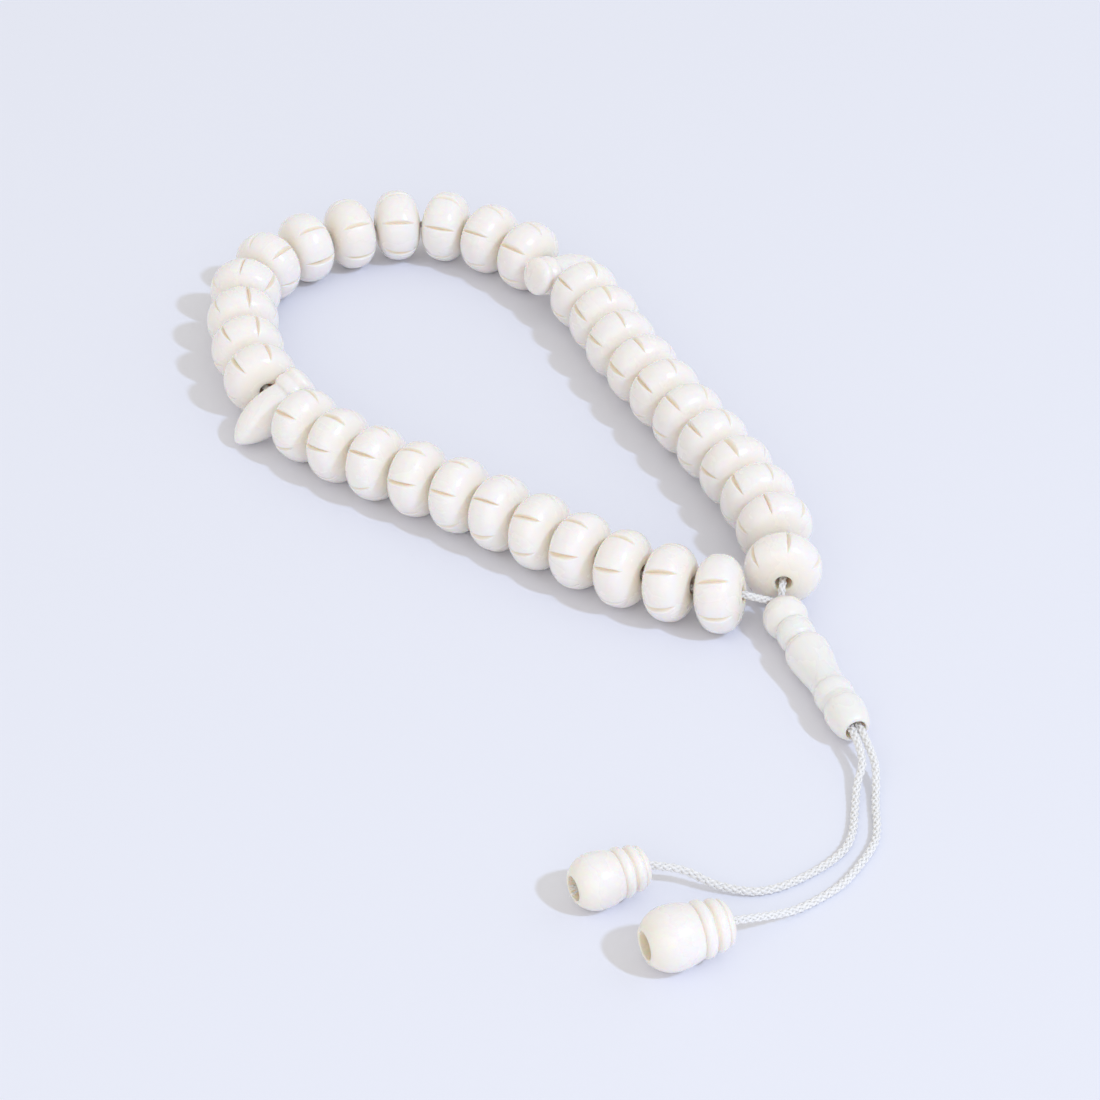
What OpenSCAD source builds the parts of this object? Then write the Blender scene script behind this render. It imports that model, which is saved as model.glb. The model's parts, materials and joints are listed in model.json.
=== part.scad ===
// Misbaha: a loop of 33 counting beads in three groups, two dividers, a tall
// imame that gathers both strands, and two tails that end in turned end beads.
// Millimetres. It lies on the plane z = 0, +Z up, with the origin under the
// middle of its box and the loop's far end towards +Y.

/* [Counting beads] */
// Number of counting beads between two dividers
group_count = 11; // [11:1:11]
// Diameter of a counting bead
bead_d = 12.2; // [9:0.1:15]
// Thickness of a counting bead along the cord
bead_t = 7.6; // [6:0.1:9.5]
// Thickness of a counting bead in the middle group
bend_t = 8; // [7:0.1:9.5]
// Diameter of the bore through a counting bead
bead_bore = 2.6; // [1.8:0.1:3.2]
// Roundness of a bead's outline, from 2 (an ellipse) to 3 (a barrel)
bead_roundness = 2.4; // [2:0.1:3]
// Number of carved slits around a bead
slit_count = 6; // [3:1:7]
// Depth of a carved slit
slit_depth = 0.8; // [0.4:0.1:1]
// Width of a carved slit at the surface
slit_w = 1.2; // [0.6:0.1:1.6]

/* [Spacing on the cord] */
// Play between two neighbours on the straight strands
straight_gap = 0.3; // [0.3:0.05:0.8]
// Play between two neighbours round the far bend, past what their lean takes up
bend_gap = 0.16; // [0.1:0.02:0.9]
// How far the beads of the last group lean back on the cord, in degrees
last_lean = 9; // [0:1:9]
// Extra slack between the first bead and the second
first_slack = 2.4; // [1:0.1:4]
// Cord left bare between the imame and the first bead, past what its width takes
lead_in = 0.28; // [0:0.02:2.8]
// Cord left bare between the imame and the last bead, past the first bead's side
lead_out = 0.33; // [0.05:0.02:2.7]

/* [Dividers] */
// Largest diameter of a divider
divider_d = 6.7; // [5:0.1:8]
// Length of a divider across the cord
divider_l = 15.9; // [14:0.1:19]
// Width of the divider's ring
divider_ring_w = 2.2; // [1.5:0.1:3]
// Diameter of the cross bore in a divider
divider_bore = 2.4; // [1.8:0.1:2.8]
// Clearance between a divider and each bead beside it
divider_gap = 0.6; // [0.4:0.05:1.2]

/* [Imame] */
// Length of the imame
imame_l = 31; // [28:0.1:42]
// Diameter of the round head
imame_head_d = 7; // [6:0.1:9]
// Largest diameter of the tapering body
imame_body_d = 6.9; // [6:0.1:9]
// Diameter of the waist above the foot
imame_waist_d = 5.4; // [4.6:0.1:6]
// Diameter of the bell at the foot
imame_foot_d = 6.3; // [5.5:0.1:8]
// Diameter of the bore that holds both strands
imame_bore = 3.2; // [2.8:0.1:3.8]

/* [End beads] */
// Largest diameter of the front end bead
front_end_d = 9.4; // [8:0.1:11]
// Largest diameter of the rear end bead
rear_end_d = 8.3; // [7:0.1:10]
// Diameter of the cord bore in an end bead
end_bore = 1.8; // [1.5:0.1:2.2]

/* [Cord] */
// Diameter of the cord
cord_d = 1.2; // [0.8:0.05:1.3]
// Diameter of the knot that holds an end bead
knot_d = 2.6; // [2.3:0.1:3]

/* [Hidden] */

bone = [0.93, 0.90, 0.84];
bone_dark = [0.90, 0.86, 0.78];
cord_white = [0.93, 0.93, 0.92];

arc_steps = 12;        // points on a quarter of a turned curve
cord_sides = 8;        // flats round the cord
// How far each counting bead has rolled about the cord
bead_turns = [
    5, 45, 15, 46, 19, 24, 9, 49, 55, 1, 13,
    9, 7, 57, 5, 14, 31, 20, 1, 47, 40, 43,
    44, 6, 42, 4, 54, 38, 35, 6, 58, 37, 32
];
// Height of the tip of each divider's long cap over the table, and how far the
// divider has rolled about the cord for that
divider_1_tip = 3.15;
divider_2_tip = 1.33;
function divider_turn(tip_h) = 180 + asin((bead_h - tip_h) / divider_long);

// ---- curves -------------------------------------------------------------

// One coordinate or point of a smooth curve between b and c
function between(a, b, c, d, t) =
    0.5 * (2 * b + (c - a) * t + (2 * a - 5 * b + 4 * c - d) * t * t
    + (3 * b - a - 3 * c + d) * t * t * t);

// A smooth curve through the points, with so many steps between two of them
function smooth(points, steps) = [
    for (i = [0 : len(points) - 2], k = [0 : steps - 1])
        between(points[max(i - 1, 0)], points[i], points[i + 1],
                points[min(i + 2, len(points) - 1)], k / steps),
    points[len(points) - 1]
];

// Distance along a path to each of its points
function distances(path) = [
    for (i = 0, s = 0; i < len(path);
         s = s + norm(path[min(i + 1, len(path) - 1)] - path[i]), i = i + 1) s
];

// A path with its distances, one table for each coordinate
function tables(path, dist) = [
    for (c = [0 : 2]) [for (i = [0 : len(path) - 1]) [dist[i], path[i][c]]]
];

function at(table, s) = [for (c = [0 : 2]) lookup(s, table[c])];
function unit(v) = v / norm(v);
function along(table, s, reach) = unit(at(table, s + reach) - at(table, s - reach));

// A quarter of an ellipse in [radius, place], from angle a to angle b
function bow(place, reach, low, rise, a, b) = [
    for (k = [0 : arc_steps])
        let (w = a + (b - a) * k / arc_steps)
            [low + rise * cos(w), place + reach * sin(w)]
];

// ---- the loop's route ---------------------------------------------------

// Where the tails come out of the imame, and which way the imame lies. The
// tails stay where they are, and the imame's top and the loop follow its length
imame_foot = [49.59, -44.21];
imame_heading = -71;
imame_top = imame_foot - imame_l * [cos(imame_heading), sin(imame_heading)];
// Half the distance between the two strands in the imame
strand_offset = cord_d / 2 + 0.04;

// Route of the loop's middle line from the imame round and back to it, and where
// on that plan the imame's top is
loop_start = [39.5, -14.9];
loop_points = [
    [40.1, -14.6], [40.6, -9.4], [40, -0.2], [37.2, 9.4], [32.1, 20.6],
    [27.1, 30.1], [22.3, 39.6], [16.7, 51.1], [12.5, 62.1], [6.5, 72.2],
    [-3.3, 81.6], [-13.1, 87.2], [-24.1, 87.2], [-35.8, 81.6], [-43.2, 75.1],
    [-46.9, 66.6], [-46.6, 56.6], [-44.3, 45.4], [-39.9, 35.2], [-33.8, 27.2],
    [-24.1, 18.8], [-9.1, 9.2], [3.9, -0.4], [16.3, -9.4], [28.5, -14.8],
    [34.3, -15.9], [38.9, -14.7]
];

divider_room = divider_d + 2 * divider_gap;
// Neighbours lean towards each other round the bend, and the last bead lies
// beside the first one, so both need more cord when the beads are wider. The
// last bead is tucked in behind the first one's rounded side by the nest
nest = 7.93;
bend_room = bend_gap + 0.04 * bead_d + 0.002;
lead_in_l = lead_in + 0.1 * bead_d;
lead_out_l = lead_out + bead_d - nest;
bead_count = 3 * group_count;
group_l = group_count * bead_t + (group_count - 1) * straight_gap;
bend_group_l = group_count * bend_t + (group_count - 1) * bend_room;
loop_l = lead_in_l + group_l + first_slack + divider_room + bend_group_l
    + divider_room + group_l + lead_out_l;

flat_path = [for (p = smooth(loop_points, 12)) [p.x, p.y, 0]];
flat_dist = distances(flat_path);
route_l = flat_dist[len(flat_dist) - 1];
// The route grows with the beads that it carries, about the imame's top
route_scale = loop_l / route_l;
anchor = [imame_top.x, imame_top.y, 0];
plan_start = [loop_start.x, loop_start.y, 0];
loop_path = [for (p = flat_path) anchor + (p - plan_start) * route_scale];
loop_dist = [for (s = flat_dist) s * route_scale];
loop_table = tables(loop_path, loop_dist);

bead_h = bead_d / 2;
imame_h = max(imame_head_d, imame_body_d, imame_foot_d) / 2 + 0.05;
// Height of the cord along the loop: it leaves the imame in the upper half of
// its bore, enters the first bead in the lower half of the bead's bore, and is at
// the beads' middles from there on
cord_rise = 0.4;
cord_heights = [
    [0, imame_h + cord_rise],
    [lead_in_l, bead_h - cord_rise],
    [lead_in_l + bead_t / 2, bead_h],
    [loop_l - lead_out_l - bead_t / 2, bead_h],
    [loop_l - lead_out_l, bead_h + cord_rise / 2],
    [loop_l, imame_h + cord_rise]
];
function loop_at(s) =
    let (p = at(loop_table, s)) [p.x, p.y, lookup(s, cord_heights)];

function thickness(i) = floor(i / group_count) == 1 ? bend_t : bead_t;
function lean(i) = floor(i / group_count) == 2 ? last_lean : 0;

// Distance along the loop to the middle of bead i, counted from 0
function bead_s(i) =
    let (g = floor(i / group_count), k = i - g * group_count)
    let (gap = g == 1 ? bend_room : straight_gap)
    let (t = thickness(i))
    let (start = lead_in_l
        + (g > 0 ? group_l + first_slack + divider_room : 0)
        + (g > 1 ? bend_group_l + divider_room : 0))
    start + t / 2 + k * (t + gap) + (g == 0 && k > 0 ? first_slack : 0);

// Distance along the loop to divider 0 or 1
function divider_s(i) =
    lead_in_l + group_l + first_slack + divider_room / 2
    + i * (bend_group_l + divider_room);

// Puts a piece that lies along +Z at its place on the loop, along the cord, with
// its front end raised by its lean
module on_loop(s, turn = 0, lean = 0) {
    p = at(loop_table, s);
    d = along(loop_table, s, bead_t / 2);
    translate([p.x, p.y, bead_h])
        rotate([0, 90 - lean, atan2(d.y, d.x)])
            rotate([0, 0, turn])
                children();
}

// ---- turned outlines ----------------------------------------------------

// Outline of a counting bead, a rounded barrel about its middle
function bead_outline(t) = [
    for (k = [-arc_steps : arc_steps])
        let (w = 90 * k / arc_steps)
            [bead_h * pow(cos(w), 2 / bead_roundness),
             t / 2 * sign(w) * pow(abs(sin(w)), 2 / bead_roundness)]
];

// Divider: its short cap, its ring and its long cap, about its cross bore
divider_r = divider_d / 2;
divider_groove = -1.9;                       // place of the groove by the bore
divider_ring_end = divider_groove - divider_ring_w;
divider_long = divider_l * 0.6;              // reach of the long cap
divider_short = divider_l - divider_long;    // reach of the short cap
divider_wide = divider_long * 0.28;          // widest place of the long cap
divider_point = 1.35;                        // how pointed the long cap is, from 1
short_wide = divider_ring_end - 1;           // widest place of the short cap
divider_outline = concat(
    [[0, -divider_short]],
    bow(short_wide, divider_short + short_wide, 0, divider_r * 0.98, -90, 0),
    [[divider_r * 0.9, divider_ring_end]],
    bow((divider_groove + divider_ring_end) / 2, divider_ring_w / 2,
        divider_r * 0.84, divider_r * 0.16, -75, 75),
    [[divider_r * 0.84, divider_groove]],
    bow(divider_wide, (divider_wide - divider_groove) * 1.7, 0, divider_r, -34, 0),
    [for (k = [1 : arc_steps])
        let (w = 90 * k / arc_steps)
            [divider_r * pow(cos(w), divider_point),
             divider_wide + (divider_long - divider_wide) * sin(w)]]
);

// Imame: its places are shares of its length, from the top at 0
head_r = imame_head_d / 2;
body_r = imame_body_d / 2;
waist_r = imame_waist_d / 2;
foot_r = imame_foot_d / 2;
function down(share) = imame_l * share;
imame_outline = concat(
    bow(head_r, head_r, 0, head_r, -acos(imame_bore / imame_head_d), 50),
    [[head_r * 0.82, down(0.195)]],
    bow(down(0.25), down(0.05), head_r * 0.80, head_r * 0.10, -80, 80),
    [[body_r * 0.84, down(0.305)]],
    bow(down(0.4), down(0.1), 0, body_r, -55, 0),
    [for (k = [1 : arc_steps])
        let (t = k / arc_steps)
            [body_r + (waist_r - body_r) * (1 - cos(180 * t)) / 2,
             down(0.4 + 0.25 * t)]],
    [[waist_r * 1.04, down(0.68)]],
    bow(down(0.73), down(0.045), foot_r * 0.86, foot_r * 0.11, -80, 80),
    [[foot_r * 0.9, down(0.78)]],
    bow(down(0.86), down(0.1), 0, foot_r, -28, 0),
    bow(down(0.86), down(0.14), imame_bore / 2, foot_r - imame_bore / 2, 6, 90)
);

// End bead: places from its mouth, as shares of its largest diameter
function end_l(d) = 1.37 * d;
function end_outline(d) = concat(
    [[end_mouth_r(d), 0], [0.262 * d, 0]],
    bow(0.425 * d, 0.5 * d, 0, 0.5 * d, -55, 0),
    bow(0.425 * d, 0.70 * d, 0, 0.5 * d, 5, 32),
    [[0.415 * d, 0.805 * d]],
    bow(0.905 * d, 0.10 * d, 0.385 * d, 0.075 * d, -75, 75),
    [[0.368 * d, 1.025 * d]],
    bow(1.125 * d, 0.095 * d, 0.355 * d, 0.055 * d, -75, 75),
    bow(1.225 * d, 0.145 * d, end_bore / 2, 0.37 * d - end_bore / 2, 0, 90),
    [[end_bore / 2, end_mouth_depth(d)], [end_mouth_r(d), end_mouth_depth(d)]]
);
function end_mouth_r(d) = 0.215 * d;
function end_mouth_depth(d) = 0.43 * d;

// ---- pieces -------------------------------------------------------------

// One carved slit: a V cut straight along the bead's bulging side, so that it
// is widest at the middle and runs out in a point at each end
module slit_cutter() {
    reach = 1;
    half_w = slit_w / 2 * (slit_depth + reach) / slit_depth;
    linear_extrude(height = 2 * max(bead_t, bend_t), center = true)
        polygon([[bead_h - slit_depth, 0], [bead_h + reach, half_w],
                 [bead_h + reach, -half_w]]);
}

module counting_bead(i) {
    color(bone)
        on_loop(bead_s(i), bead_turns[i % len(bead_turns)], lean(i))
            difference() {
                rotate_extrude($fn = 64)
                    polygon(bead_outline(thickness(i)));
                cylinder(h = 2 * thickness(i), d = bead_bore, center = true, $fn = 32);
                for (k = [0 : slit_count - 1])
                    rotate([0, 0, k * 360 / slit_count])
                        slit_cutter();
            }
}

// A divider lies across the cord, turned about it by its own small tilt
module divider(i, turn) {
    color(bone_dark)
        on_loop(divider_s(i), turn)
            difference() {
                rotate([0, 90, 90])
                    rotate_extrude($fn = 64)
                        polygon(divider_outline);
                cylinder(h = 2 * divider_d, d = divider_bore, center = true, $fn = 32);
            }
}

module imame() {
    color(bone)
        translate([imame_top.x, imame_top.y, imame_h])
            rotate([0, 90, imame_heading])
                rotate_extrude($fn = 64)
                    polygon(imame_outline);
}

// Mouth and heading of each end bead, which rests on its widest circle
front_mouth = [17.7, -90];
front_heading = 22.5;
rear_mouth = [8.1, -78.2];
rear_heading = 26;

module end_bead(mouth, heading, d) {
    color(bone)
        translate([mouth.x, mouth.y, d / 2])
            rotate([0, 90, heading])
                rotate_extrude($fn = 64)
                    polygon(end_outline(d));
}

// ---- cords --------------------------------------------------------------

function heading(angle) = [cos(angle), sin(angle), 0];
imame_dir = heading(imame_heading);
imame_side = [-imame_dir.y, imame_dir.x, 0];
// The tails begin this far inside the imame's foot
foot_inset = 1.5;

// A point inside the imame on one strand, s from its top
function strand(s, side) =
    [imame_top.x, imame_top.y, imame_h] + imame_dir * s
    + imame_side * side * strand_offset;

// Rings of cord points along the beads, and how far inside the imame's top the
// strands come together
loop_rings = 52;
head_inset = 1.5;
first_ring = lead_in_l + bead_t;
last_ring = loop_l - lead_out_l - bead_t;
loop_cord_path = concat(
    [strand(imame_l - foot_inset, 1), strand(imame_l / 2, 1), strand(head_inset, 1)],
    [for (s = [0, lead_in_l, lead_in_l + bead_t / 2]) loop_at(s)],
    [for (k = [0 : loop_rings])
        loop_at(first_ring + (last_ring - first_ring) * k / loop_rings)],
    [for (s = [lead_out_l + bead_t / 2, lead_out_l, lead_out_l / 2, 0]) loop_at(loop_l - s)],
    [strand(head_inset, -1), strand(imame_l / 2, -1), strand(imame_l - foot_inset, -1)]
);

lay_h = cord_d / 2 + 0.05;   // height of a cord that lies on the table

// Where a tail comes out of its end bead
function end_exit(mouth, angle, d) =
    [mouth.x, mouth.y, d / 2] + heading(angle) * (end_l(d) - 0.2);

// Where a tail meets its knot in the end bead's mouth
function knot_place(mouth, angle, d) =
    [mouth.x, mouth.y, d / 2]
    + heading(angle) * (end_mouth_depth(d) - knot_d / 2);

rear_tail_points = concat(
    [strand(imame_l - foot_inset, -1), strand(imame_l + 1, -1)],
    [[50.1, -50, 2.6], [49.2, -53.4, 1.3], [48.6, -57.9, lay_h], [48, -62.4, lay_h],
     [46.8, -66, lay_h], [44.4, -69, lay_h], [40.9, -71.8, lay_h],
     [36.9, -74.2, lay_h], [32.9, -75.2, 0.8], [27.9, -74.4, 1.4], [23.4, -73, 2.8]],
    [end_exit(rear_mouth, rear_heading, rear_end_d)]
);

front_tail_points = concat(
    [strand(imame_l - foot_inset, 1), strand(imame_l + 1, 1)],
    [[51.9, -50, 2.4], [51.9, -53.4, 1.1], [51.6, -57.4, lay_h], [51.5, -61.4, lay_h],
     [50.9, -65, lay_h], [48.9, -69, lay_h], [45.9, -73.4, lay_h],
     [42.5, -76.4, lay_h], [38.9, -79, 0.9], [35.5, -81.4, 2.2]],
    [end_exit(front_mouth, front_heading, front_end_d)]
);

tail_rings = 11;

// Equal steps along a tail, then straight through its end bead to the knot
function tail_path(points, mouth, angle, d) =
    let (path = smooth(points, 10))
    let (dist = distances(path))
    let (table = tables(path, dist), l = dist[len(dist) - 1])
    concat(
        [for (k = [0 : tail_rings]) at(table, l * k / tail_rings)],
        [knot_place(mouth, angle, d) + heading(angle) * (knot_d / 2 - 0.1)]
    );

// Direction of a path at one of its points
function path_dir(path, i) =
    unit(path[min(i + 1, len(path) - 1)] - path[max(i - 1, 0)]);

// One ring of cord points about path[i], with its first point to the side
function ring(path, i) =
    let (d = path_dir(path, i))
    let (side = unit(cross(d, [0, 0, 1])))
    let (up = cross(side, d))
    [for (k = [0 : cord_sides - 1])
        let (w = 360 * (k + 0.5) / cord_sides)
            path[i] + cord_d / 2 * (side * cos(w) + up * sin(w))];

// A round cord swept along a path, as one closed solid
module cord(path) {
    n = cord_sides;
    last = len(path) - 1;
    points = [for (i = [0 : last]) each ring(path, i)];
    walls = [
        for (i = [0 : last - 1], k = [0 : n - 1])
            let (a = i * n + k, b = i * n + (k + 1) % n)
                each [[a, b, b + n], [a, b + n, a + n]]
    ];
    ends = [
        [for (k = [0 : n - 1]) n - 1 - k],
        [for (k = [0 : n - 1]) last * n + k]
    ];
    color(cord_white)
        polyhedron(points = points, faces = concat(walls, ends));
}

module loop_cord() { cord(loop_cord_path); }
module tail_cord_front() {
    cord(tail_path(front_tail_points, front_mouth, front_heading, front_end_d));
}
module tail_cord_rear() {
    cord(tail_path(rear_tail_points, rear_mouth, rear_heading, rear_end_d));
}

// A knot is a small ball of cord pulled against the floor of the mouth
module knot(mouth, angle, d) {
    color(cord_white)
        translate(knot_place(mouth, angle, d))
            sphere(d = knot_d, $fn = 32);
}

// ---- what is drawn ------------------------------------------------------

function two_digits(n) = str(n < 10 ? "0" : "", n);

for (i = [0 : bead_count - 1])
    counting_bead(i);
divider(0, divider_turn(divider_1_tip));  // divider_1
divider(1, divider_turn(divider_2_tip));  // divider_2
imame();
union() {  // end_bead_front
    end_bead(front_mouth, front_heading, front_end_d);
}
union() {  // end_bead_rear
    end_bead(rear_mouth, rear_heading, rear_end_d);
}
loop_cord();
tail_cord_front();
tail_cord_rear();
knot(front_mouth, front_heading, front_end_d);  // knot_front
knot(rear_mouth, rear_heading, rear_end_d);  // knot_rear
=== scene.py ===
import json
import math

import bmesh
import bpy
import numpy as np
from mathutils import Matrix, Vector


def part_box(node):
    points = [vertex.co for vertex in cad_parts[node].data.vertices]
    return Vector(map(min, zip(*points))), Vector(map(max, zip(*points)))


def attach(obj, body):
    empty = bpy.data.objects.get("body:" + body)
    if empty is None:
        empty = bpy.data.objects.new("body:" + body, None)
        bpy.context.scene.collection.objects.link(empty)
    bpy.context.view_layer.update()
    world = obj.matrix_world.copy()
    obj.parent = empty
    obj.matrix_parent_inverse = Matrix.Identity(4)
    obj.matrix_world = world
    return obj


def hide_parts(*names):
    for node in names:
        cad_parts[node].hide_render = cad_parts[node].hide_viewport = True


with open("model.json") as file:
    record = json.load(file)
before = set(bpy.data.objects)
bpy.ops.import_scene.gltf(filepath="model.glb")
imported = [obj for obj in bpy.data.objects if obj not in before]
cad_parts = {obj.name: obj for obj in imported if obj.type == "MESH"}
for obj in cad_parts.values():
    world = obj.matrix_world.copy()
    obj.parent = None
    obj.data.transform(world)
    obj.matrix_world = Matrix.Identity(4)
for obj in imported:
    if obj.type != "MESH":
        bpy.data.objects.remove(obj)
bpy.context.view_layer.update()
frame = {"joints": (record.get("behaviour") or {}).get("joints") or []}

MM = 0.001
UP = np.array([0.0, 0.0, 1.0])
scene = bpy.context.scene
scene.view_settings.view_transform = "Standard"
scene.view_settings.look = "None"


# ---- camera ---------------------------------------------------------------

TARGET = Vector((0.0049, 0.0031, 0.0))
VIEW_ELEVATION = math.radians(38)
VIEW_DISTANCE = 0.55
VIEW_LENS = 114.545


def make_camera():
    """The view that the string is meant to be seen from."""
    data = bpy.data.cameras.new("camera")
    data.lens = VIEW_LENS
    data.sensor_width = 36
    data.clip_start = 0.01
    data.clip_end = 50
    camera = bpy.data.objects.new("camera", data)
    scene.collection.objects.link(camera)
    away = Vector((0, -math.cos(VIEW_ELEVATION), math.sin(VIEW_ELEVATION)))
    camera.location = TARGET + away * VIEW_DISTANCE
    camera.rotation_euler = (-away).to_track_quat("-Z", "Y").to_euler()
    scene.camera = camera


make_camera()


# ---- mesh helpers -----------------------------------------------------------

def new_object(name, verts, faces, smooth=True):
    """A mesh object from points in metres, with its faces turned outwards."""
    mesh = bpy.data.meshes.new(name)
    mesh.from_pydata(np.asarray(verts, float).tolist(), [], faces)
    bm = bmesh.new()
    bm.from_mesh(mesh)
    bmesh.ops.recalc_face_normals(bm, faces=bm.faces)
    bm.to_mesh(mesh)
    bm.free()
    mesh.polygons.foreach_set("use_smooth", [smooth] * len(mesh.polygons))
    piece = bpy.data.objects.new(name, mesh)
    scene.collection.objects.link(piece)
    return piece


def set_vector(piece, name, values):
    layer = piece.data.attributes.new(name, "FLOAT_VECTOR", "POINT")
    layer.data.foreach_set("vector", np.asarray(values, np.float32).ravel())


def set_float(piece, name, values):
    layer = piece.data.attributes.new(name, "FLOAT", "POINT")
    count = len(piece.data.vertices)
    full = np.broadcast_to(np.asarray(values, np.float32), (count,))
    layer.data.foreach_set("value", np.ascontiguousarray(full))


def ring_faces(rows, cols, first=0):
    """Quads of a grid that closes on itself both ways."""
    i = np.arange(rows)[:, None]
    j = np.arange(cols)[None, :]
    a = first + i * cols + j
    b = first + i * cols + (j + 1) % cols
    c = first + ((i + 1) % rows) * cols + (j + 1) % cols
    d = first + ((i + 1) % rows) * cols + j
    return np.stack([a, b, c, d], axis=-1).reshape(-1, 4)


def tube_faces(rows, cols, first=0):
    """Quads of an open tube, and one face over each end."""
    quads = ring_faces(rows, cols, first)[: (rows - 1) * cols].tolist()
    start = [first + k for k in range(cols)]
    end = [first + (rows - 1) * cols + k for k in range(cols)]
    return quads + [start[::-1], end]


def unit(v):
    v = np.asarray(v, float)
    return v / np.linalg.norm(v, axis=-1, keepdims=True)


# ---- curves, as in the CAD source ---------------------------------------------

def smooth_curve(points, steps):
    """A smooth curve through the points, with so many steps between two of them."""
    p = np.asarray(points, float)
    n = len(p)
    out = []
    for i in range(n - 1):
        a, b, c, d = p[max(i - 1, 0)], p[i], p[i + 1], p[min(i + 2, n - 1)]
        for k in range(steps):
            t = k / steps
            out.append(0.5 * (2 * b + (c - a) * t + (2 * a - 5 * b + 4 * c - d) * t * t
                              + (3 * b - a - 3 * c + d) * t ** 3))
    out.append(p[-1])
    return np.array(out)


def distances(path):
    steps = np.linalg.norm(np.diff(path, axis=0), axis=1)
    return np.concatenate([[0], np.cumsum(steps)])


def resample(path, step):
    """Points an equal step apart along a path."""
    s = distances(path)
    at = np.linspace(0, s[-1], max(int(round(s[-1] / step)), 4) + 1)
    return np.stack([np.interp(at, s, path[:, k]) for k in range(3)], axis=1)


def ease_corners(path, passes):
    """Rounds a finely sampled path, with its ends kept."""
    path = path.copy()
    for _ in range(passes):
        path[1:-1] = (path[:-2] + 2 * path[1:-1] + path[2:]) / 4
    return path


# Sizes from the CAD source, in millimetres. The leads are whole lengths of bare cord
BEAD_D = 12.2
BEAD_T = 7.6
BEND_T = 8.0                    # thickness in the middle group
BEAD_BORE = 2.6
BEAD_ROUNDNESS = 2.4
SLIT_COUNT = 6
SLIT_DEPTH = 0.8
# How far each counting bead has rolled about the cord, in degrees
BEAD_TURNS = [
    5, 45, 15, 46, 19, 24, 9, 49, 55, 1, 13,
    9, 7, 57, 5, 14, 31, 20, 1, 47, 40, 43,
    44, 6, 42, 4, 54, 38, 35, 6, 58, 37, 32,
]
LEAD_IN = 1.5
LEAD_OUT = 4.6
DIVIDER_D = 6.7
DIVIDER_L = 15.9
DIVIDER_RING = 2.2
DIVIDER_BORE = 2.4
DIVIDER_TURNS = (198, 210)
IMAME_L = 31.0
IMAME_HEAD = 7.0
IMAME_BODY = 6.9
IMAME_WAIST = 5.4
IMAME_FOOT = 6.3
IMAME_BORE = 3.2
FRONT_END_D = 9.4
REAR_END_D = 8.3
END_BORE = 1.8
CORD_D = 1.2
KNOT_D = 2.6
LOOP_L = 292.0
CORD_RISE = 0.4
FOOT_INSET = 1.5
HEAD_INSET = 1.5

IMAME_TOP = np.array([39.5, -14.9])
IMAME_HEADING = -71
IMAME_H = 3.55
STRAND_OFFSET = CORD_D / 2 + 0.04
FRONT_MOUTH = np.array([17.7, -90.0])
FRONT_HEADING = 22.5
REAR_MOUTH = np.array([8.1, -78.2])
REAR_HEADING = 26

LOOP_POINTS = [
    (40.1, -14.6), (40.6, -9.4), (40, -0.2), (37.2, 9.4), (32.1, 20.6),
    (27.1, 30.1), (22.3, 39.6), (16.7, 51.1), (12.5, 62.1), (6.5, 72.2),
    (-3.3, 81.6), (-13.1, 87.2), (-24.1, 87.2), (-35.8, 81.6), (-43.2, 75.1),
    (-46.9, 66.6), (-46.6, 56.6), (-44.3, 45.4), (-39.9, 35.2), (-33.8, 27.2),
    (-24.1, 18.8), (-9.1, 9.2), (3.9, -0.4), (16.3, -9.4), (28.5, -14.8),
    (34.3, -15.9), (38.9, -14.7),
]
LAY_H = CORD_D / 2 + 0.05


def heading(angle):
    return np.array([math.cos(math.radians(angle)), math.sin(math.radians(angle)), 0.0])


IMAME_DIR = heading(IMAME_HEADING)
IMAME_SIDE = np.array([-IMAME_DIR[1], IMAME_DIR[0], 0.0])
IMAME_START = np.array([IMAME_TOP[0], IMAME_TOP[1], IMAME_H])


def strand(s, side):
    """A point on one strand in the imame, s from its top."""
    return IMAME_START + IMAME_DIR * s + IMAME_SIDE * side * STRAND_OFFSET


def end_l(d):
    return 1.37 * d


def end_axis_point(mouth, angle, d, s):
    """A point on an end bead's axis, s from its mouth."""
    return np.array([mouth[0], mouth[1], d / 2]) + heading(angle) * s


def knot_place(mouth, angle, d):
    return end_axis_point(mouth, angle, d, 0.43 * d - KNOT_D / 2)


def loop_path():
    """The loop's cord from one strand in the imame round to the other."""
    flat = smooth_curve([(x, y, 0) for x, y in LOOP_POINTS], 12)
    anchor = np.array([IMAME_TOP[0], IMAME_TOP[1], 0.0])
    path = anchor + (flat - anchor) * LOOP_L / distances(flat)[-1]
    s = distances(path)
    low, mid = BEAD_D / 2 - CORD_RISE, BEAD_D / 2
    half = BEAD_T / 2
    places = [0, LEAD_IN, LEAD_IN + half, LOOP_L - LEAD_OUT - half,
              LOOP_L - LEAD_OUT, LOOP_L]
    heights = [IMAME_H + CORD_RISE, low, mid, mid, mid + CORD_RISE / 2,
               IMAME_H + CORD_RISE]
    path[:, 2] = np.interp(s, places, heights)
    start = [strand(IMAME_L - FOOT_INSET, 1), strand(IMAME_L / 2, 1), strand(HEAD_INSET, 1)]
    end = [strand(HEAD_INSET, -1), strand(IMAME_L / 2, -1), strand(IMAME_L - FOOT_INSET, -1)]
    return np.concatenate([start, path, end])


def tail_path(side, points, mouth, angle, d):
    """A tail from the imame's foot, over the table and into its end bead."""
    free = np.concatenate([
        [strand(IMAME_L - FOOT_INSET, side), strand(IMAME_L + 1, side)],
        points,
        [end_axis_point(mouth, angle, d, end_l(d) - 0.2)],
    ])
    inside = knot_place(mouth, angle, d) + heading(angle) * (KNOT_D / 2 - 0.1)
    return np.concatenate([smooth_curve(free, 10), [inside]])


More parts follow.
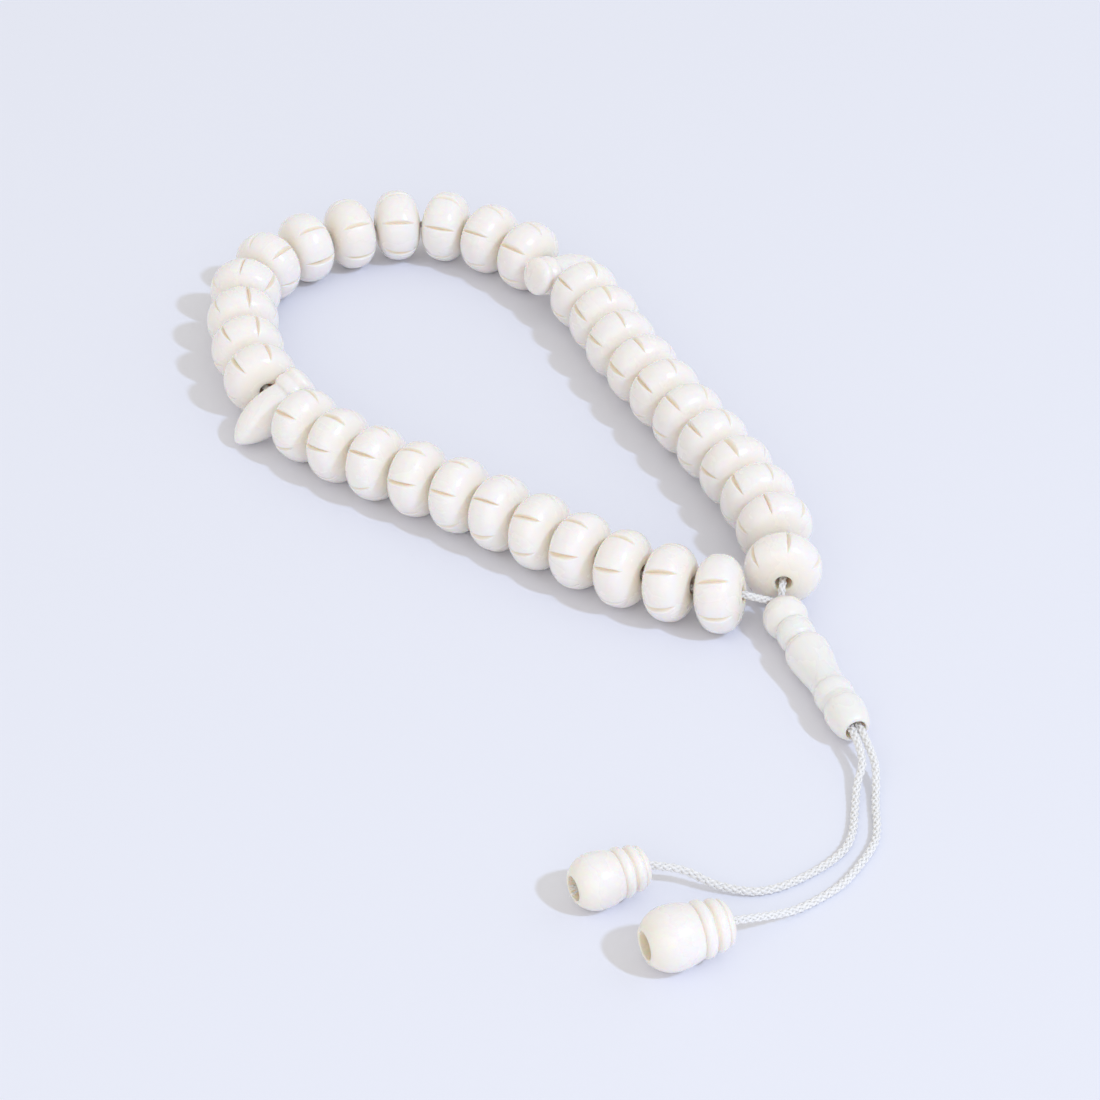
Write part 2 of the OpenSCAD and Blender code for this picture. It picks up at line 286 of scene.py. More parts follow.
REAR_POINTS = [
    (50.1, -50, 2.6), (49.2, -53.4, 1.3), (48.6, -57.9, LAY_H), (48, -62.4, LAY_H),
    (46.8, -66, LAY_H), (44.4, -69, LAY_H), (40.9, -71.8, LAY_H),
    (36.9, -74.2, LAY_H), (32.9, -75.2, 0.8), (27.9, -74.4, 1.4), (23.4, -73, 2.8),
]
FRONT_POINTS = [
    (51.9, -50, 2.4), (51.9, -53.4, 1.1), (51.6, -57.4, LAY_H), (51.5, -61.4, LAY_H),
    (50.9, -65, LAY_H), (48.9, -69, LAY_H), (45.9, -73.4, LAY_H),
    (42.5, -76.4, LAY_H), (38.9, -79, 0.9), (35.5, -81.4, 2.2),
]


# ---- cords ------------------------------------------------------------------

BRAID_PITCH = 5.2
BRAID_R = 0.385
BRAID_WAVE = 0.115
YARN_W = 0.23
YARN_T = 0.15
CORE_R = 0.28


def braid_parts(path, step, sides, scale=1.0):
    """An eight-strand round braid along a path in millimetres: four strands
    each way, each passing over one and under one. Returns points, faces, coords."""
    path = ease_corners(resample(path, step), 6)
    s = distances(path)
    tangent = unit(np.gradient(path, axis=0))
    side = unit(np.cross(tangent, UP))
    up = np.cross(side, tangent)
    verts, faces, coords = [], [], []
    phi = np.arange(sides) * 2 * math.pi / sides
    for turn in (1, -1):
        for k in range(4):
            angle = turn * 2 * math.pi * s / (BRAID_PITCH * scale) + k * math.pi / 2
            out = side * np.cos(angle)[:, None] + up * np.sin(angle)[:, None]
            wave = np.cos(8 * math.pi * s / (BRAID_PITCH * scale))
            reach = scale * (BRAID_R + turn * BRAID_WAVE * wave)
            centre = path + out * reach[:, None]
            along = unit(np.gradient(centre, axis=0))
            across = unit(np.cross(along, out))
            ring = (centre[:, None, :]
                    + out[:, None, :] * (scale * YARN_T * np.cos(phi))[None, :, None]
                    + across[:, None, :] * (scale * YARN_W * np.sin(phi))[None, :, None])
            faces += tube_faces(len(path), sides, sum(len(v) for v in verts))
            verts.append(ring.reshape(-1, 3))
            place = np.empty((len(path), sides, 3))
            place[..., 0] = phi * 0.2
            place[..., 1] = s[:, None]
            place[..., 2] = (turn * 4 + k) * 3.7
            coords.append(place.reshape(-1, 3))
    return np.concatenate(verts), faces, np.concatenate(coords)


def core_parts(path, step, first):
    """The braid's core yarn, which fills its middle."""
    path = ease_corners(resample(path, step), 3)
    tangent = unit(np.gradient(path, axis=0))
    side = unit(np.cross(tangent, UP))
    up = np.cross(side, tangent)
    phi = np.arange(10) * 2 * math.pi / 10
    ring = (path[:, None, :] + CORE_R * (side[:, None, :] * np.cos(phi)[None, :, None]
                                         + up[:, None, :] * np.sin(phi)[None, :, None]))
    coords = np.empty((len(path), 10, 3))
    coords[..., 0] = phi * 0.3
    coords[..., 1] = distances(path)[:, None]
    coords[..., 2] = 50
    return ring.reshape(-1, 3), tube_faces(len(path), 10, first), coords.reshape(-1, 3)


def braid(name, path, step, sides):
    verts, faces, coords = braid_parts(path, step, sides)
    core, core_faces, core_coords = core_parts(path, 0.6, len(verts))
    verts, coords = np.concatenate([verts, core]), np.concatenate([coords, core_coords])
    faces += core_faces
    piece = new_object(name, verts * MM, faces)
    set_vector(piece, "yarn_pos", coords)
    return piece


tail_rear_line = tail_path(-1, REAR_POINTS, REAR_MOUTH, REAR_HEADING, REAR_END_D)
tail_front_line = tail_path(1, FRONT_POINTS, FRONT_MOUTH, FRONT_HEADING, FRONT_END_D)
tail_rear = braid("braid_tail_rear", tail_rear_line, 0.13, 8)
tail_front = braid("braid_tail_front", tail_front_line, 0.13, 8)
loop_cord = braid("braid_loop", loop_path(), 0.2, 6)


def knot_line(centre, axis):
    """A small overhand knot's closed line about a point."""
    t = np.linspace(0, 2 * math.pi, 160)
    side = unit(np.cross(axis, UP))
    up = np.cross(side, axis)
    a = (np.sin(t) + 2 * np.sin(2 * t)) * 0.26
    b = (np.cos(t) - 2 * np.cos(2 * t)) * 0.26
    c = -np.sin(3 * t) * 0.42
    return centre + side * a[:, None] + up * b[:, None] + axis * c[:, None]


def knot_piece(name, mouth, angle, d, tuft):
    """The knot in an end bead's mouth, with the cut end's loose filaments."""
    axis = heading(angle)
    place = knot_place(mouth, angle, d)
    verts, faces, coords = braid_parts(knot_line(place, axis), 0.09, 6, 0.55)
    rng = np.random.default_rng(7 if tuft else 3)
    start = place - axis * 0.6
    for _ in range(26 if tuft else 8):
        spread = rng.normal(0, 0.45 if tuft else 0.3, 2)
        side = unit(np.cross(axis, UP))
        up = np.cross(side, axis)
        reach = (2.3 if tuft else 1.2) * rng.uniform(0.75, 1.0)
        t = np.linspace(0, 1, 9)
        bend = rng.normal(0, 0.25, 2)
        line = (start - axis * (reach * t)[:, None]
                + side * (0.25 * spread[0] + spread[0] * t + bend[0] * t * t)[:, None]
                + up * (0.25 * spread[1] + spread[1] * t + bend[1] * t * t)[:, None])
        along = unit(np.gradient(line, axis=0))
        u = unit(np.cross(along, UP))
        v = np.cross(u, along)
        phi = np.arange(5) * 2 * math.pi / 5
        r = 0.055 * (1 - 0.5 * t)
        ring = line[:, None, :] + r[:, None, None] * (
            u[:, None, :] * np.cos(phi)[None, :, None]
            + v[:, None, :] * np.sin(phi)[None, :, None])
        faces += tube_faces(len(t), 5, len(verts))
        verts = np.concatenate([verts, ring.reshape(-1, 3)])
        coords = np.concatenate([coords, ring.reshape(-1, 3)])
    piece = new_object(name, verts * MM, faces)
    set_vector(piece, "yarn_pos", coords)
    return piece


knot_front = knot_piece("braid_knot_front", FRONT_MOUTH, FRONT_HEADING, FRONT_END_D, False)
knot_rear = knot_piece("braid_knot_rear", REAR_MOUTH, REAR_HEADING, REAR_END_D, True)


# ---- bone pieces ----------------------------------------------------------------

# How warm each counting bead is, from -1 for white to 1 for cream
BEAD_TINTS = [
    0.3, 0.0, -0.3, 0.2, -0.2, 0.1, 0.4, 0.2, -0.1, 0.1, 0.0,
    0.3, 0.1, -0.2, -0.1, 0.9, -0.4, -0.3, -0.2, -0.1, 0.0, 0.7,
    -0.1, 0.3, -0.2, 0.5, -0.3, -0.2, 0.3, -0.1, 0.6, 0.0, -0.3,
]


def bead_columns():
    """Angles of a bead's grid, close together at each slit, as offsets in
    degrees from the slit's middle line."""
    near = np.concatenate([np.arange(-0.62, 1.16, 0.085)])
    near = np.degrees(near / (BEAD_D / 2))
    far = np.linspace(near[-1], 360 / SLIT_COUNT + near[0], 11)[1:-1]
    return np.concatenate([near, far])


def bead_grid(rng, t):
    """One counting bead about its bore: a rounded barrel with carved slits. Returns points in
    millimetres, with Z along the bore, the faces, how much painted shade and painted glow each
    point gets in the slits and about the bore, and how much painted bounce light it gets on the
    end faces."""
    r_max = BEAD_D / 2
    n = BEAD_ROUNDNESS
    chamfer = 0.28
    bore = BEAD_BORE / 2
    w_end = math.acos(((bore + chamfer) / r_max) ** (n / 2))
    w = np.linspace(-w_end, w_end, 58)
    r0 = r_max * np.cos(w) ** (2 / n)
    z0 = t / 2 * np.sign(w) * np.abs(np.sin(w)) ** (2 / n)
    edge_z = z0[-1]
    lip = np.linspace(0, math.pi / 2, 5)[1:]
    lip_r = bore + chamfer * (1 - np.sin(lip))
    lip_z = edge_z - chamfer * 0.8 * (1 - np.cos(lip))
    inner_z = np.linspace(lip_z[-1], -lip_z[-1], 8)[1:-1]
    r = np.concatenate([r0, lip_r, np.full(6, bore), lip_r[::-1]])
    z = np.concatenate([z0, lip_z, inner_z, -lip_z[::-1]])
    outer = np.zeros(len(r), bool)
    outer[: len(r0)] = True

    columns = bead_columns()
    theta, offset, slit = [], [], []
    for k in range(SLIT_COUNT):
        theta.append(columns + k * 360 / SLIT_COUNT)
        offset.append(columns)
        slit.append(np.full(len(columns), k))
    theta = np.radians(np.concatenate(theta))
    offset = np.radians(np.concatenate(offset))
    slit = np.concatenate(slit)
    wrapped = (offset + math.pi / SLIT_COUNT) % (2 * math.pi / SLIT_COUNT) \
        - math.pi / SLIT_COUNT
    next_one = (offset > math.pi / SLIT_COUNT)
    slit = (slit + next_one) % SLIT_COUNT

    # Gentle unevenness of a piece turned and polished by hand
    lobe = 1 - 0.0035 * (1 + np.sin(2 * theta + rng.uniform(0, 6.3))) \
        - 0.002 * (1 + np.sin(3 * theta + rng.uniform(0, 6.3)))
    R = r[:, None] * np.where(outer[:, None], lobe[None, :], 1)
    Z = np.repeat(z[:, None], len(theta), axis=1)

    depth = SLIT_DEPTH * rng.uniform(0.9, 1.2, SLIT_COUNT)
    shift = rng.uniform(-0.45, 0.45, SLIT_COUNT)
    slant = rng.uniform(-0.09, 0.09, SLIT_COUNT)
    wide = rng.uniform(0.65, 1.0, SLIT_COUNT)
    zz = Z - shift[slit][None, :]
    a = R * np.sin(wrapped)[None, :] - slant[slit][None, :] * zz
    wall = np.where(a < 0, -a / (0.26 * wide[slit][None, :]), a / (0.72 * wide[slit][None, :]))
    # The cutter follows the bulging side a little way before it runs out
    floor = r_max - depth[slit][None, :] + 0.8 * wall - 0.065 * zz * zz
    soft = 0.035
    h = np.clip(0.5 + 0.5 * (R * np.cos(wrapped)[None, :] - floor) / soft, 0, 1)
    cut = R * (1 - h) + floor / np.cos(wrapped)[None, :] * h - soft * h * (1 - h)
    new_r = np.where(outer[:, None], np.minimum(R, cut), R)
    # Painted shade in the slits: the deeper the cut, the more tan shade is painted there
    hollow_shade_glow = np.clip((R - new_r) / 0.45, 0, 1)
    # Painted glow: warm tan on each end face near the bore, standing in for light glowing
    # through the bone; the bore's own wall gets painted shade
    bore_glow = np.clip(1 - (R - bore) / 1.3, 0, 1) * 0.55
    hollow_shade_glow = np.maximum(hollow_shade_glow, np.where(outer[:, None], bore_glow, 0.9))

    # Painted bounce light: how much warm colour each end face gets, for light bounced between
    # neighbouring beads
    end_face_glow = np.clip((np.abs(Z) / (t / 2) - 0.62) / 0.34, 0, 1)

    points = np.stack([new_r * np.cos(theta)[None, :], new_r * np.sin(theta)[None, :], Z],
                      axis=-1)
    faces = ring_faces(len(r), len(theta)).tolist()
    return points.reshape(-1, 3), faces, hollow_shade_glow.reshape(-1), end_face_glow.reshape(-1)


def loop_frame(axis):
    """Directions of a piece on the loop: X down, Y to the left, Z along the cord."""
    d = unit(axis)
    left = unit(np.array([-d[1], d[0], 0.0]))
    return np.array([np.cross(left, d), left, d]).T


def spin(points, degrees):
    """Points turned about Z."""
    c, s = math.cos(math.radians(degrees)), math.sin(math.radians(degrees))
    x, y = points[:, 0], points[:, 1]
    return np.stack([c * x - s * y, s * x + c * y, points[:, 2]], axis=1)


joint_of = {j["child"]: j for j in frame["joints"]}


def centre_of(node):
    low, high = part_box(node)
    return np.array((low + high) / 2) / MM


def make_bead(index):
    name = f"bead_{index + 1:02d}"
    joint = joint_of[name]
    rng = np.random.default_rng(100 + index)
    place = np.array(joint["pos_m"]) / MM if "pos_m" in joint else centre_of(name)
    place[2] = BEAD_D / 2
    thickness = BEND_T if 11 <= index < 22 else BEAD_T
    points, faces, hollow_shade_glow, end_face_glow = bead_grid(rng, thickness)
    turned = spin(points, BEAD_TURNS[index])
    world = turned @ loop_frame(joint["axis"]).T + place
    piece = new_object("carved_" + name, world * MM, faces)
    set_vector(piece, "bone_pos", points + rng.uniform(-400, 400, 3))
    set_float(piece, "hollow_shade_glow", hollow_shade_glow)
    set_float(piece, "end_face_glow", end_face_glow)
    set_float(piece, "tint", BEAD_TINTS[index])
    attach(piece, name)
    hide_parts(name)
    return piece


def fine_outline(outline, step=0.11, passes=2):
    """A closed turned outline of [radius, place] points, evenly sampled and with
    its corners polished off."""
    line = np.asarray(outline, float)
    line = np.concatenate([line, line[:1]])
    keep = np.concatenate([[True], np.linalg.norm(np.diff(line, axis=0), axis=1) > 1e-6])
    line = line[keep]
    s = distances(line)
    at = np.linspace(0, s[-1], int(round(s[-1] / step)) + 1)[:-1]
    out = np.stack([np.interp(at, s, line[:, 0]), np.interp(at, s, line[:, 1])], axis=1)
    for _ in range(passes):
        out = (np.roll(out, 1, axis=0) + 2 * out + np.roll(out, -1, axis=0)) / 4
    return out


def lathe(outline, columns, rng, unround=0.003):
    """Turns a closed outline about Z into a bored solid."""
    theta = np.arange(columns) * 2 * math.pi / columns
    lobe = 1 - unround * (1 + np.sin(2 * theta + rng.uniform(0, 6.3)))
    r = outline[:, 0][:, None] * lobe[None, :]
    z = np.repeat(outline[:, 1][:, None], columns, axis=1)
    points = np.stack([r * np.cos(theta), r * np.sin(theta), z], axis=-1)
    return points.reshape(-1, 3), ring_faces(len(outline), columns).tolist()


def bow(place, reach, low, rise, a, b, steps=16):
    w = np.radians(np.linspace(a, b, steps + 1))
    return np.stack([low + rise * np.cos(w), place + reach * np.sin(w)], axis=1).tolist()


def imame_outline():
    head, body, waist, foot = (d / 2 for d in (IMAME_HEAD, IMAME_BODY, IMAME_WAIST, IMAME_FOOT))
    bore = IMAME_BORE / 2
    down = lambda share: IMAME_L * share
    taper = []
    for k in range(1, 17):
        t = k / 16
        taper.append([body + (waist - body) * (1 - math.cos(math.pi * t)) / 2,
                      down(0.4 + 0.25 * t)])
    return ([[bore, head - math.sqrt(head * head - bore * bore)]]
            + bow(head, head, 0, head, -60, 50)
            + [[head * 0.74, down(0.195)]]
            + bow(down(0.25), down(0.05), head * 0.72, head * 0.13, -70, 70)
            + [[body * 0.78, down(0.305)]]
            + bow(down(0.4), down(0.1), 0, body, -52, 0)
            + taper
            + [[waist * 1.0, down(0.68)]]
            + bow(down(0.73), down(0.045), foot * 0.84, foot * 0.12, -75, 75)
            + [[foot * 0.85, down(0.78)]]
            + bow(down(0.86), down(0.1), 0, foot, -28, 0)
            + bow(down(0.86), down(0.14), bore, foot - bore, 6, 90))


def end_outline(d):
    bore = END_BORE / 2
    mouth = 0.215 * d
    depth = 0.43 * d
    return ([[mouth, 0], [0.262 * d, 0]]
            + bow(0.425 * d, 0.5 * d, 0, 0.5 * d, -55, 0)
            + bow(0.425 * d, 0.70 * d, 0, 0.5 * d, 5, 32)
            + [[0.385 * d, 0.80 * d]]
            + bow(0.905 * d, 0.11 * d, 0.32 * d, 0.13 * d, -68, 68)
            + [[0.345 * d, 1.02 * d]]
            + bow(1.125 * d, 0.10 * d, 0.30 * d, 0.11 * d, -68, 68)
            + bow(1.225 * d, 0.145 * d, bore, 0.37 * d - bore, 0, 90)
            + [[bore, depth], [mouth, depth]])


def divider_outline():
    r = DIVIDER_D / 2
    groove = -1.9
    ring_end = groove - DIVIDER_RING
    long = DIVIDER_L * 0.6
    short = DIVIDER_L - long
    wide = long * 0.28
    short_wide = ring_end - 1
    tip = [[r * math.cos(w) ** 1.35, wide + (long - wide) * math.sin(w)]
           for w in np.linspace(0.05, math.pi / 2, 24)]
    return ([[0, -short]]
            + bow(short_wide, short + short_wide, 0, r * 0.98, -90, 0)
            + [[r * 0.9, ring_end]]
            + bow((groove + ring_end) / 2, DIVIDER_RING / 2, r * 0.84, r * 0.16, -75, 75)
            + [[r * 0.84, groove]]
            + bow(wide, (wide - groove) * 1.7, 0, r, -34, 0)
            + tip)


def groove_depth(outline, reach):
    """How far each point of an outline lies under the piece's bulk, 0 to 1."""
    r = outline[:, 0]
    wide = np.array([r[np.abs(outline[:, 1] - z) < reach].max() for z in outline[:, 1]])
    return np.clip((wide - r) / 1.6, 0, 1)


def make_lathe_piece(name, node, outline, origin, angle, tint, seed):
    """A bored piece that lies along a heading on the table."""
    rng = np.random.default_rng(seed)
    line = fine_outline(outline)
    points, faces = lathe(line, 112, rng)
    world = points @ loop_frame(heading(angle)).T + origin
    piece = new_object(name, world * MM, faces)
    # Painted shade in the grooves: the deeper the groove, the more tan shade is painted there
    hollow_shade_glow = np.repeat(groove_depth(line, 0.9), 112)
    set_vector(piece, "bone_pos", points + rng.uniform(-400, 400, 3))
    set_float(piece, "hollow_shade_glow", hollow_shade_glow)
    set_float(piece, "tint", tint)
    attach(piece, node)
    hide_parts(node)
    return piece


def make_divider(index):
    """A divider lies across the cord, which passes through its cross bore."""
    name = f"divider_{index + 1}"
    joint = joint_of[name]
    rng = np.random.default_rng(500 + index)
    line = np.asarray(divider_outline())
    s = distances(line)
    at = np.linspace(0, s[-1], int(round(s[-1] / 0.13)) + 1)
    line = np.stack([np.interp(at, s, line[:, 0]), np.interp(at, s, line[:, 1])], axis=1)
    for _ in range(3):
        line[1:-1] = (line[:-2] + 2 * line[1:-1] + line[2:]) / 4
    columns = 112
    theta = np.arange(columns) * 2 * math.pi / columns
    body = line[1:-1]
    r = body[:, 0][:, None] * np.ones(columns)
    z = np.repeat(body[:, 1][:, None], columns, axis=1)
    points = np.stack([r * np.cos(theta), r * np.sin(theta), z], axis=-1).reshape(-1, 3)
    faces = ring_faces(len(body), columns)[: (len(body) - 1) * columns].tolist()
    first, last = len(points), len(points) + 1
    points = np.concatenate([points, [[0, 0, line[0, 1]], [0, 0, line[-1, 1]]]])
    top = (len(body) - 1) * columns
    for k in range(columns):
        faces.append([k, first, (k + 1) % columns])
        faces.append([top + k, top + (k + 1) % columns, last])
    # Its length runs to the left of the cord before it is turned about the cord
    across = np.stack([points[:, 1], points[:, 2], points[:, 0]], axis=1)
    turned = spin(across, DIVIDER_TURNS[index])
    basis = loop_frame(joint["axis"])
    place = np.array(joint["pos_m"]) / MM
    place[2] = BEAD_D / 2
    piece = new_object("carved_" + name, (turned @ basis.T + place) * MM, faces)

    bore = DIVIDER_BORE / 2
    cut_z = np.array([-6, -DIVIDER_D / 2 + 0.35, -DIVIDER_D / 2 + 0.75,
                      DIVIDER_D / 2 - 0.75, DIVIDER_D / 2 - 0.35, 6])
    cut_r = np.array([bore + 2.6, bore + 0.25, bore, bore, bore + 0.25, bore + 2.6])
    phi = np.arange(64) * 2 * math.pi / 64
    rings = np.stack([cut_r[:, None] * np.cos(phi), cut_r[:, None] * np.sin(phi),
                      np.repeat(cut_z[:, None], 64, axis=1)], axis=-1).reshape(-1, 3)
    rings = spin(rings, DIVIDER_TURNS[index]) @ basis.T + place
    cutter = new_object("cutter", rings * MM, tube_faces(len(cut_z), 64))
    cut = piece.modifiers.new("bore", "BOOLEAN")
    cut.operation = "DIFFERENCE"
    cut.solver = "EXACT"
    cut.object = cutter
    bpy.context.view_layer.update()
    graph = bpy.context.evaluated_depsgraph_get()
    done = bpy.data.meshes.new_from_object(piece.evaluated_get(graph))
    piece.modifiers.clear()
    piece.data = done
    bpy.data.objects.remove(cutter)
    done.polygons.foreach_set("use_smooth", [True] * len(done.polygons))
    done.set_sharp_from_angle(angle=math.radians(38))

    world = np.empty(len(done.vertices) * 3)
    done.vertices.foreach_get("co", world)
    local = (world.reshape(-1, 3) / MM - place) @ basis
    local = spin(local, -DIVIDER_TURNS[index])
    own = np.stack([local[:, 2], local[:, 0], local[:, 1]], axis=1)
    from_bore = np.hypot(local[:, 0], local[:, 1])
    # Painted glow: warm tan colour around the cross bore, standing in for light glowing through
    # the bone there
    glow = np.clip(1 - (from_bore - bore) / 1.0, 0, 1) * 0.8
    set_vector(piece, "bone_pos", own + rng.uniform(-400, 400, 3))
    set_float(piece, "hollow_shade_glow", glow)
    set_float(piece, "tint", 0.1)
    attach(piece, name)
    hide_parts(name)
    return piece


beads = [make_bead(i) for i in range(33)]
dividers = [make_divider(i) for i in range(2)]
imame = make_lathe_piece("turned_imame", "imame", imame_outline(), IMAME_START,
                         IMAME_HEADING, 0.1, 601)
end_front = make_lathe_piece("turned_end_front", "end_bead_front", end_outline(FRONT_END_D),
                             end_axis_point(FRONT_MOUTH, FRONT_HEADING, FRONT_END_D, 0),
                             FRONT_HEADING, 0.0, 602)
end_rear = make_lathe_piece("turned_end_rear", "end_bead_rear", end_outline(REAR_END_D),
                            end_axis_point(REAR_MOUTH, REAR_HEADING, REAR_END_D, 0),
                            REAR_HEADING, 0.0, 603)


# ---- materials --------------------------------------------------------------------

class Nodes:
    """A short way to build a node tree."""

    def __init__(self, name):
        self.material = bpy.data.materials.new(name)
        self.material.use_nodes = True
        self.tree = self.material.node_tree
        self.tree.nodes.clear()
        self.out = self.add("ShaderNodeOutputMaterial")
        self.shader = self.add("ShaderNodeBsdfPrincipled")
        self.link(self.shader, "BSDF", self.out, "Surface")

    def add(self, kind, **values):
        node = self.tree.nodes.new(kind)
        for key, value in values.items():
            setattr(node, key, value)
        return node

    def link(self, a, out, b, into):
        self.tree.links.new(a.outputs[out], b.inputs[into])

    def attribute(self, name):
        return self.add("ShaderNodeAttribute", attribute_name=name)

    def stretch(self, source, out, scale):
        node = self.add("ShaderNodeMapping")
        self.link(source, out, node, "Vector")
        node.inputs["Scale"].default_value = scale
        return node

    def noise(self, vector, scale, detail=3, rough=0.5):
        node = self.add("ShaderNodeTexNoise")
        self.link(vector, "Vector", node, "Vector")
        node.inputs["Scale"].default_value = scale
        node.inputs["Detail"].default_value = detail
        node.inputs["Roughness"].default_value = rough
        return node

    def ramp(self, source, out, low, high, a=0.0, b=1.0):
        """Maps a value from low..high to a..b."""
        node = self.add("ShaderNodeMapRange")
        self.link(source, out, node, "Value")
        node.inputs["From Min"].default_value = low
        node.inputs["From Max"].default_value = high
        node.inputs["To Min"].default_value = a
        node.inputs["To Max"].default_value = b
        return node

    def mix(self, factor, out, a, b, blend="MIX"):
        """Mixes two colours; each is a colour or a (node, output) pair."""
        node = self.add("ShaderNodeMix", data_type="RGBA", blend_type=blend)
        self.link(factor, out, node, 0)
        for value, socket in ((a, 6), (b, 7)):
            if isinstance(value[0], (int, float)):
                node.inputs[socket].default_value = (*value, 1)
            else:
                self.tree.links.new(value[0].outputs[value[1]], node.inputs[socket])
        return node

    def math(self, operation, a, b):
        node = self.add("ShaderNodeMath", operation=operation)
        for value, socket in ((a, 0), (b, 1)):
            if isinstance(value, (int, float)):
                node.inputs[socket].default_value = value
            else:
                self.tree.links.new(value[0].outputs[value[1]], node.inputs[socket])
        return node

    def bump(self, height, out, distance, strength=1.0, before=None):
        node = self.add("ShaderNodeBump")
        self.link(height, out, node, "Height")
        node.inputs["Distance"].default_value = distance
        node.inputs["Strength"].default_value = strength
        if before is not None:
            self.link(before, "Normal", node, "Normal")
        return node

    def set(self, **values):
        for key, value in values.items():
            self.shader.inputs[key.replace("_", " ")].default_value = value


def bone_material():
    n = Nodes("polished_bone")
    place = n.attribute("bone_pos")
    tint = n.attribute("tint")
    hollow_shade_glow = n.attribute("hollow_shade_glow")
    warm = n.ramp(tint, "Fac", -1, 1)
    base = n.mix(warm, "Result", (0.955, 0.918, 0.908), (0.945, 0.885, 0.85))
    # Clouded growth of the bone, a few millimetres across
    cloud = n.noise(n.stretch(place, "Vector", (1, 1, 0.5)), 0.24, 3, 0.55)
    cloud_amount = n.ramp(cloud, "Fac", 0.38, 0.68, 0, 0.55)
    clouded = n.mix(cloud_amount, "Result", (base, 2), (0.93, 0.885, 0.835))
    # Long fine grain along the bone
    grain = n.noise(n.stretch(place, "Vector", (3.2, 3.2, 0.22)), 1.1, 4, 0.6)
    grain_amount = n.ramp(grain, "Fac", 0.45, 0.75, 0, 0.28)
    grained = n.mix(grain_amount, "Result", (clouded, 2), (0.90, 0.85, 0.79))
    # Sparse pores, cut lengthwise
    pore = n.noise(n.stretch(place, "Vector", (5, 5, 1.0)), 1.5, 1, 0.5)
    pore_amount = n.ramp(pore, "Fac", 0.74, 0.80, 0, 0.35)
    pored = n.mix(pore_amount, "Result", (grained, 2), (0.82, 0.73, 0.61))
    # Painted bounce light: warmer colour on the end faces where two beads face each other,
    # standing in for light bounced and scattered between them
    end_face_glow = n.attribute("end_face_glow")
    bounce_warmed = n.mix(n.ramp(end_face_glow, "Fac", 0, 1, 0, 0.7), "Result", (pored, 2), (0.96, 0.87, 0.75))
    # Painted shade and glow: tan colour in the slits, grooves and bores and around the bores,
    # where shade and warm glow fall
    hollow_amount = n.ramp(hollow_shade_glow, "Fac", 0.05, 0.9, 0, 0.8)
    colour = n.mix(hollow_amount, "Result", (bounce_warmed, 2), (0.93, 0.83, 0.68))
    n.link(colour, 2, n.shader, "Base Color")
    rough = n.math("ADD", (n.ramp(cloud, "Fac", 0.3, 0.7, 0.22, 0.30), 0),
                   (n.ramp(hollow_shade_glow, "Fac", 0, 1, 0, 0.32), 0))
    n.link(rough, 0, n.shader, "Roughness")
    ripple = n.noise(n.stretch(place, "Vector", (1, 1, 1)), 0.55, 2, 0.4)
    wavy = n.bump(ripple, "Fac", 0.00022, 0.55)
    fine = n.bump(grain, "Fac", 0.00003, 0.35, wavy)
    pits = n.bump(n.ramp(pore, "Fac", 0.74, 0.80, 1, 0), 0, 0.00003, 0.5, fine)
    n.link(pits, "Normal", n.shader, "Normal")
    n.set(IOR=1.54, Subsurface_Weight=0.6, Subsurface_Scale=0.002, Coat_Weight=0.5,
          Coat_Roughness=0.035)
    n.set(Subsurface_Radius=(1.0, 0.62, 0.36))
    return n.material


def cord_material():
    n = Nodes("glossy_braid")
    place = n.attribute("yarn_pos")
    filament = n.noise(n.stretch(place, "Vector", (26, 1.4, 1)), 1.0, 2, 0.5)
    tone = n.noise(n.stretch(place, "Vector", (2, 0.8, 1)), 0.8, 2, 0.5)
    base = n.mix(n.ramp(tone, "Fac", 0.3, 0.7), "Result", (0.985, 0.98, 0.97),
                 (0.95, 0.945, 0.935))
    shade = n.mix(n.ramp(filament, "Fac", 0.35, 0.65, 0.35, 0), 0, (base, 2),
                  (0.80, 0.79, 0.775))
    n.link(shade, 2, n.shader, "Base Color")
    n.link(n.ramp(filament, "Fac", 0.3, 0.7, 0.38, 0.24), 0, n.shader, "Roughness")
    threads = n.bump(filament, "Fac", 0.00004, 0.6)
    n.link(threads, "Normal", n.shader, "Normal")
    n.set(IOR=1.58, Subsurface_Weight=0.2, Subsurface_Scale=0.0004, Sheen_Weight=0.15,
          Sheen_Roughness=0.4, Coat_Weight=0.2, Coat_Roughness=0.2)
    n.set(Subsurface_Radius=(1.0, 0.95, 0.9))
    return n.material


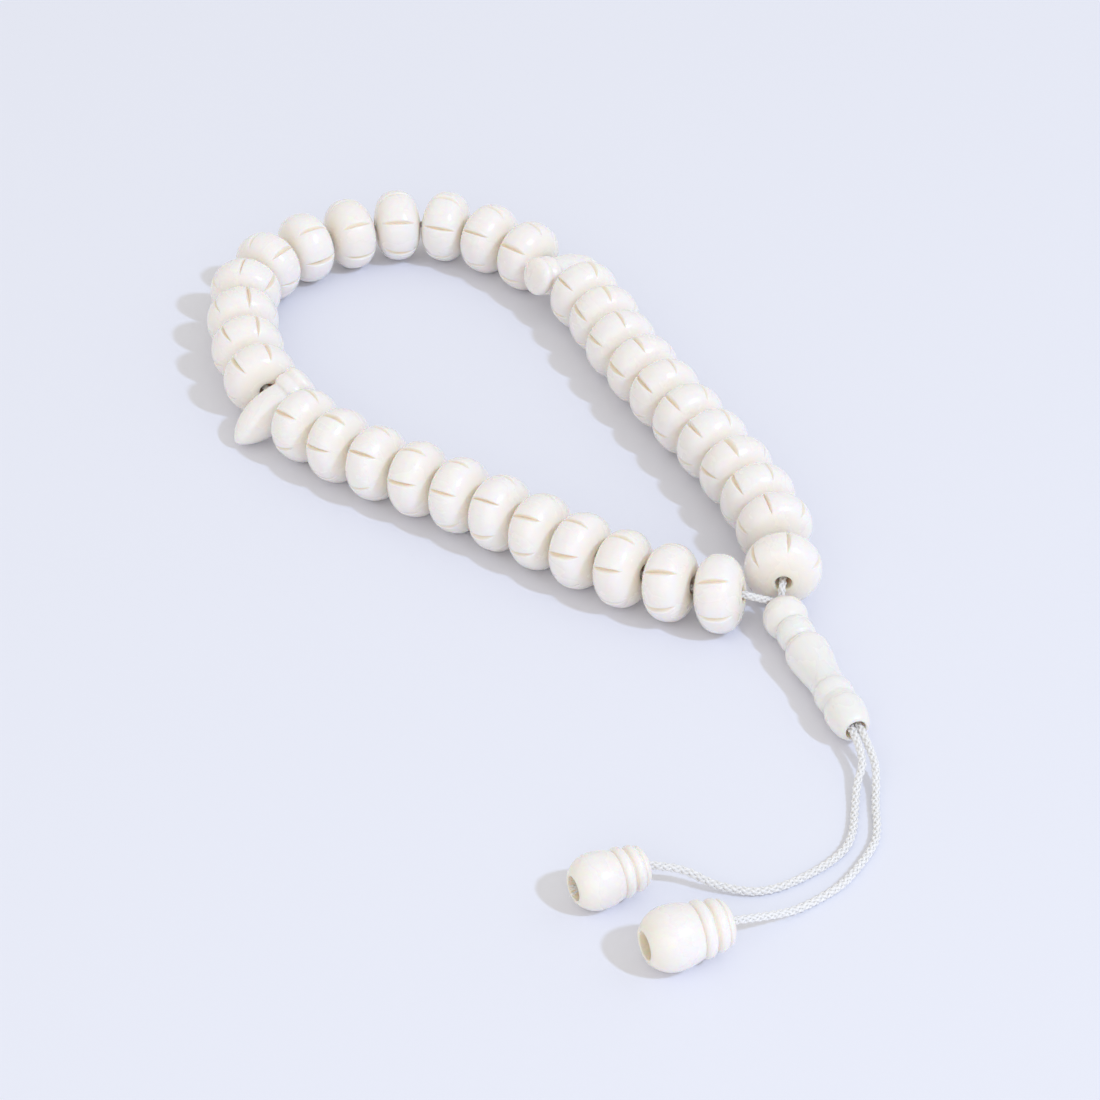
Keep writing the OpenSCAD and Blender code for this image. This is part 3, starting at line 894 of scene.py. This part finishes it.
def floor_material():
    n = Nodes("pale_floor")
    place = n.add("ShaderNodeTexCoord")
    soft = n.add("ShaderNodeTexNoise")
    n.link(place, "Object", soft, "Vector")
    soft.inputs["Scale"].default_value = 3.0
    colour = n.mix(soft, "Fac", (0.838, 0.852, 0.925), (0.848, 0.862, 0.935))
    n.link(colour, 2, n.shader, "Base Color")
    n.set(Roughness=0.75, IOR=1.3)
    n.shader.inputs["Specular IOR Level"].default_value = 0.15
    return n.material


bone = bone_material()
cord = cord_material()
for piece in beads + dividers + [imame, end_front, end_rear]:
    piece.data.materials.append(bone)
cord_pieces = {
    "loop_cord": loop_cord, "tail_cord_front": tail_front, "tail_cord_rear": tail_rear,
    "knot_front": knot_front, "knot_rear": knot_rear,
}
for node, piece in cord_pieces.items():
    piece.data.materials.append(cord)
    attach(piece, "cord")
    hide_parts(node)


# ---- floor and light ------------------------------------------------------------------

REACH = 4                       # of the floor each way, in metres
corners = [(-REACH, -REACH, 0), (REACH, -REACH, 0), (REACH, REACH, 0), (-REACH, REACH, 0)]
floor = new_object("floor", corners, [(0, 1, 2, 3)])
floor.data.materials.append(floor_material())

world = bpy.data.worlds.new("world")
scene.world = world
world.use_nodes = True
background = world.node_tree.nodes["Background"]
background.inputs["Color"].default_value = (0.752, 0.735, 0.70, 1)
background.inputs["Strength"].default_value = 1.0


def area_light(name, direction, distance, size, power, colour):
    """A rectangular light that looks at the target from a direction."""
    data = bpy.data.lights.new(name, "AREA")
    data.shape = "RECTANGLE"
    data.size, data.size_y = size
    data.energy = power
    data.color = colour
    light = bpy.data.objects.new(name, data)
    scene.collection.objects.link(light)
    away = Vector(direction).normalized()
    light.location = TARGET + away * distance
    light.rotation_euler = (-away).to_track_quat("-Z", "Y").to_euler()


area_light("key", (0.567, -0.368, 0.736), 2.4, (0.11, 0.15), 18.6, (0.63, 0.765, 1.06))
area_light("fill", (-0.15, -0.9, 0.5), 1.6, (1.7, 1.2), 3.2, (1.0, 0.975, 0.95))
